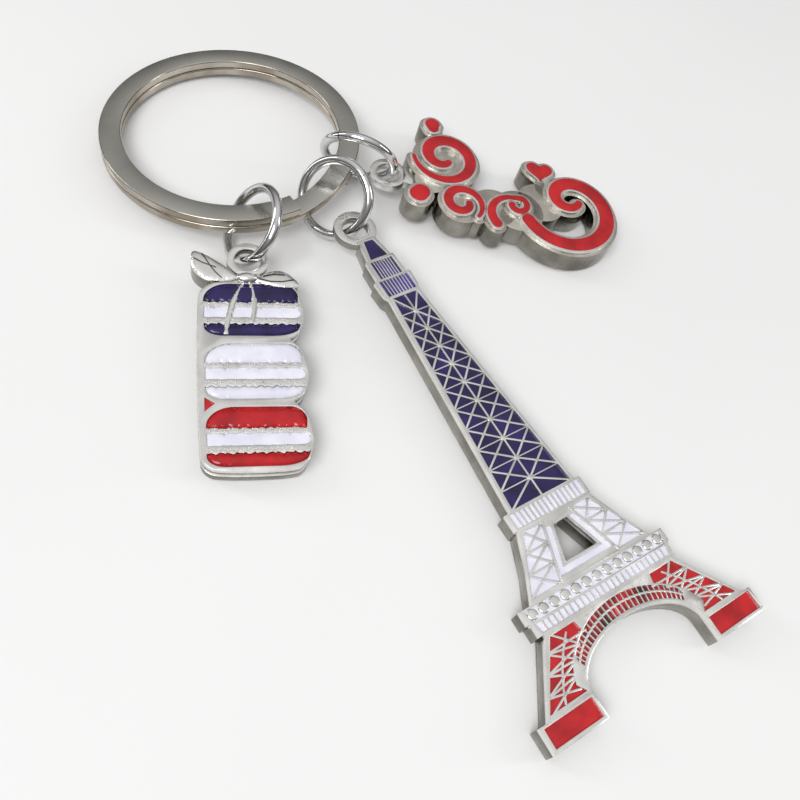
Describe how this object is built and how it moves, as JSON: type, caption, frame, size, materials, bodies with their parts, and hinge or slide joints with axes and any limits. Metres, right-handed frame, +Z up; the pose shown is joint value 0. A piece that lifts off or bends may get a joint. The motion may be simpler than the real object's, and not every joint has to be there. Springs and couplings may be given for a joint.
{
  "type": "charm keychain",
  "caption": "Split-ring keychain with enamelled metal charms: a lattice tower, a stack of filled biscuits with a bow, and a scrollwork plate with a heart, each on a wire jump ring.",
  "frame": {"origin": "middle of the keychain's footprint, on the table it lies on", "axes": "+Z up from the table, out of the charms' enamelled faces; +Y towards the split ring from the tower's feet; +X towards the scroll charm's side"},
  "size_m": [0.0718, 0.0826, 0.0092],
  "materials": {
    "ring_steel": "nickel plated, satin on the flat faces and bright on the edges",
    "wire_steel": "bright plated round wire",
    "nickel_casting": "nickel plated casting, softly polished",
    "navy_enamel": "glossy soft enamel, slightly domed",
    "white_enamel": "glossy soft enamel, slightly domed",
    "red_enamel": "glossy soft enamel, slightly domed"
  },
  "bodies": {
    "split_ring": {"split_ring": "ring_steel"},
    "macaron_jump_ring": {"macaron_jump_ring": "wire_steel"},
    "macaron_charm": {"macaron_casting": "nickel_casting", "macaron_enamel_top_shell": "navy_enamel", "macaron_enamel_top_filling": "white_enamel", "macaron_enamel_top_base": "navy_enamel", "macaron_enamel_middle_shell": "white_enamel", "macaron_enamel_middle_filling": "white_enamel", "macaron_enamel_middle_base": "white_enamel", "macaron_enamel_bottom_shell": "red_enamel", "macaron_enamel_bottom_filling": "white_enamel", "macaron_enamel_bottom_base": "red_enamel", "macaron_enamel_gusset": "red_enamel"},
    "tower_jump_ring": {"tower_jump_ring": "wire_steel"},
    "tower_charm": {"tower_casting": "nickel_casting", "tower_enamel_finial": "navy_enamel", "tower_enamel_upper_drum": "navy_enamel", "tower_enamel_lower_drum": "navy_enamel", "tower_enamel_shaft": "navy_enamel", "tower_enamel_upper_deck": "white_enamel", "tower_enamel_left_panel": "white_enamel", "tower_enamel_right_panel": "white_enamel", "tower_enamel_window": "white_enamel", "tower_enamel_lower_deck": "white_enamel", "tower_enamel_arch": "red_enamel", "tower_enamel_left_leg": "red_enamel", "tower_enamel_right_leg": "red_enamel", "tower_enamel_left_foot": "red_enamel", "tower_enamel_right_foot": "red_enamel"},
    "scroll_jump_ring": {"scroll_jump_ring": "wire_steel"},
    "scroll_charm": {"scroll_casting": "nickel_casting", "scroll_enamel_great_volute": "red_enamel", "scroll_enamel_bud": "red_enamel", "scroll_enamel_bead": "red_enamel", "scroll_enamel_middle_volute": "red_enamel", "scroll_enamel_tendril": "red_enamel", "scroll_enamel_end_volute": "red_enamel", "scroll_enamel_heart": "red_enamel"}
  },
  "joints": [
    {"name": "macaron_ring_travel", "type": "hinge", "parent": "split_ring", "child": "macaron_jump_ring", "pos_m": [-0.02084, 0.02627, 0.00138], "axis": [-0.0718, 0.0503, 0.9962], "range_deg": [-210, 8]},
    {"name": "tower_ring_travel", "type": "hinge", "parent": "split_ring", "child": "tower_jump_ring", "pos_m": [-0.02084, 0.02627, 0.00138], "axis": [-0.0718, 0.0503, 0.9962], "range_deg": [-8, 5]},
    {"name": "scroll_ring_travel", "type": "hinge", "parent": "split_ring", "child": "scroll_jump_ring", "pos_m": [-0.02084, 0.02627, 0.00138], "axis": [-0.0718, 0.0503, 0.9962], "range_deg": [-4, 210]},
    {"name": "macaron_charm_lift", "type": "hinge", "parent": "macaron_jump_ring", "child": "macaron_charm", "pos_m": [-0.01728, 0.01147, 0.00404], "axis": [-0.8072, -0.1608, 0.568], "range_deg": [-30, 75]},
    {"name": "tower_charm_lift", "type": "hinge", "parent": "tower_jump_ring", "child": "tower_charm", "pos_m": [-0.00853, 0.01705, 0.00418], "axis": [-0.5267, -0.6183, 0.5833], "range_deg": [-30, 75]},
    {"name": "scroll_charm_lift", "type": "hinge", "parent": "scroll_jump_ring", "child": "scroll_charm", "pos_m": [-0.00606, 0.02349, 0.00468], "axis": [-0.1559, -0.9388, -0.3072], "range_deg": [-30, 75]}
  ]
}
